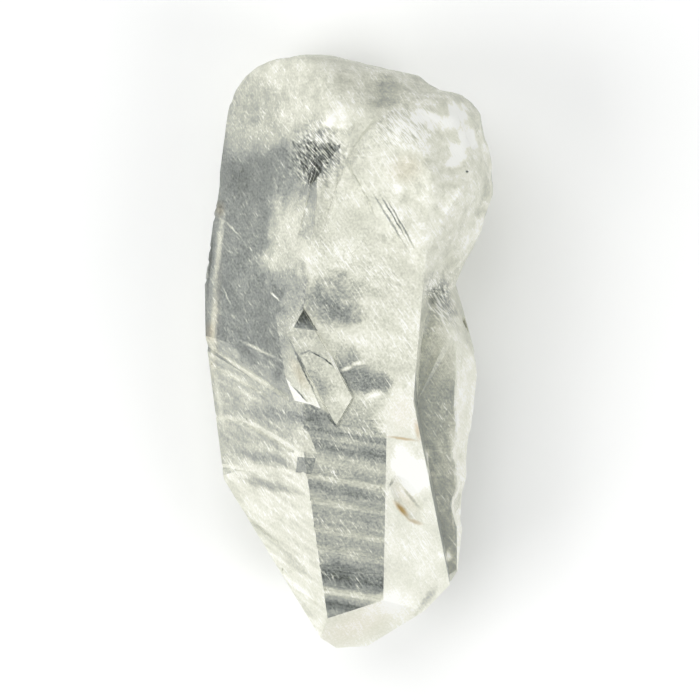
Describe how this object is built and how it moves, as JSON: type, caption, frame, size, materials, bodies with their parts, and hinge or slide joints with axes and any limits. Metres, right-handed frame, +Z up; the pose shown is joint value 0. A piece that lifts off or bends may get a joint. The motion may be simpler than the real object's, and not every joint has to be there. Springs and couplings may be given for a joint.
{
  "type": "lemurian quartz point",
  "caption": "Clear to milky quartz point with growth bars across its faces, a smaller crystal grown along one side and a broken, frosted base.",
  "frame": {"origin": "on the resting face, under the middle of the crystal's outline", "axes": "+Y from the point towards the broken base, along the length; +Z up from the resting face; +X towards the smaller side crystal"},
  "size_m": [0.045, 0.0918, 0.0358],
  "materials": {
    "quartz": "natural crystal faces, glossy where clean, frosted where worn or broken"
  },
  "bodies": {
    "root": {"quartz_point": "quartz"}
  },
  "joints": []
}
